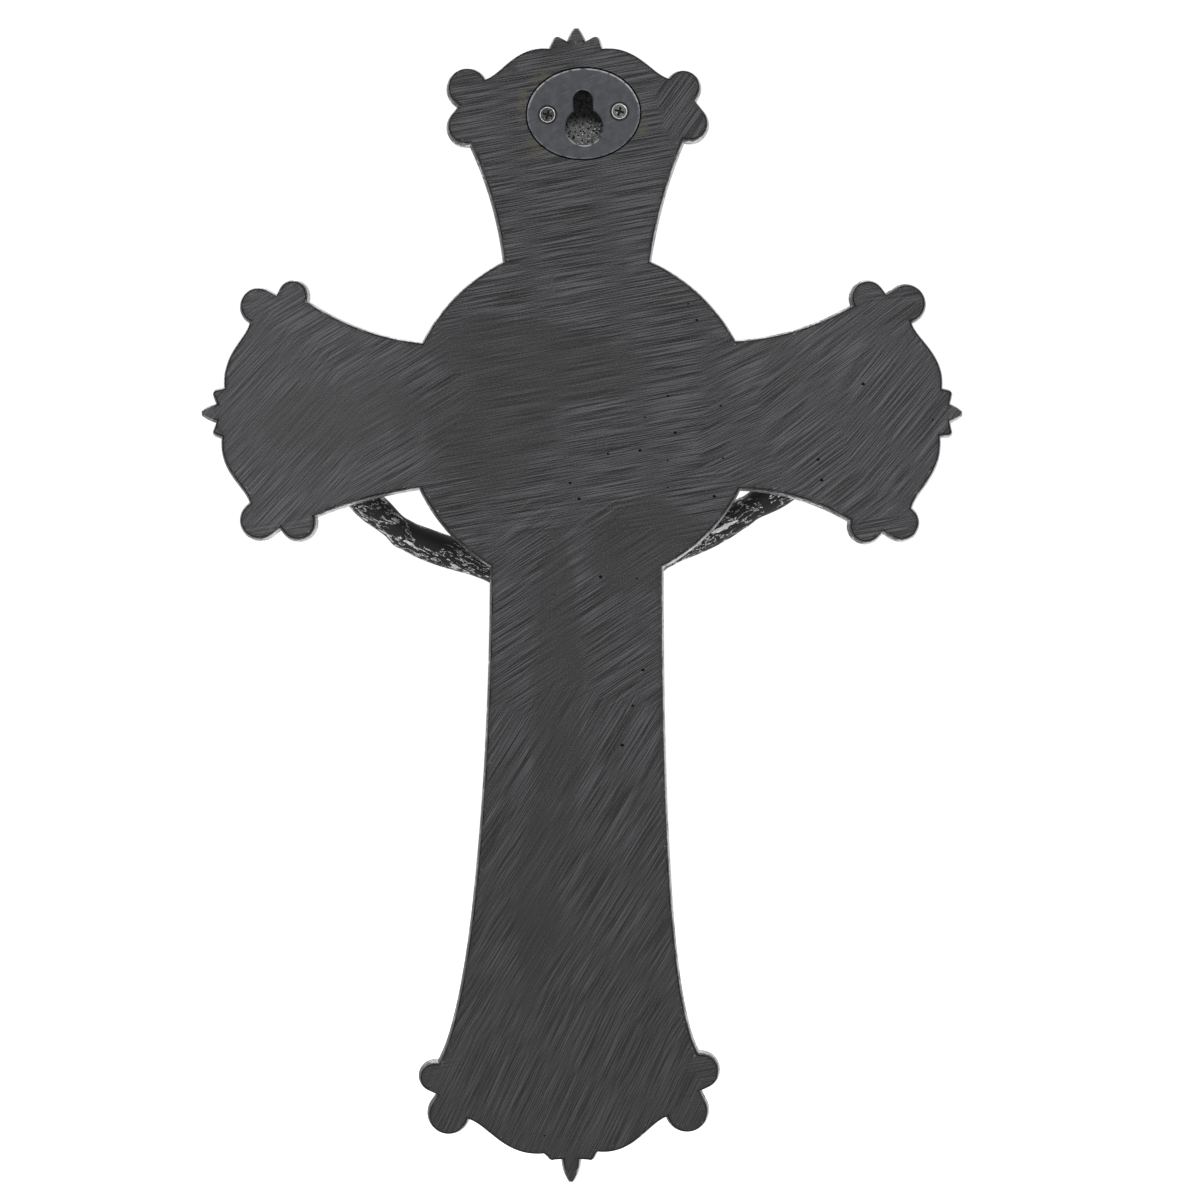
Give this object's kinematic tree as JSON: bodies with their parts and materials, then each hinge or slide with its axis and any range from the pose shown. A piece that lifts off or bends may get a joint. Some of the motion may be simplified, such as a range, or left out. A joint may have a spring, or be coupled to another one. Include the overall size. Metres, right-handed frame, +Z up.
{
  "type": "wall crucifix",
  "caption": "Wall-hung resin crucifix with a cast figure, a disc behind the crossing, lobed arm ends with leaf crests, and a keyhole hanger plate let into its flat back.",
  "frame": {"origin": "point of the hanger plate's outer face, just above its keyhole slot, that a wall screw bears behind", "axes": "+Z up to the head of the cross, +Y out of the flat back into the wall, -Y out of the figure's front"},
  "size_m": [0.2448, 0.0504, 0.3713],
  "materials": {
    "cross_resin": "cold-cast resin, charcoal, sanded back and brushed antique silver front",
    "corpus_resin": "cold-cast resin with a black patina and brushed silver highlights",
    "plated_steel": "dark grey satin plated steel",
    "screw_steel": "dark steel, worn bright at the rims"
  },
  "bodies": {
    "root": {"cross": "cross_resin", "corpus": "corpus_resin", "hanger_plate": "plated_steel", "screw_left": "screw_steel", "screw_right": "screw_steel"}
  },
  "joints": []
}
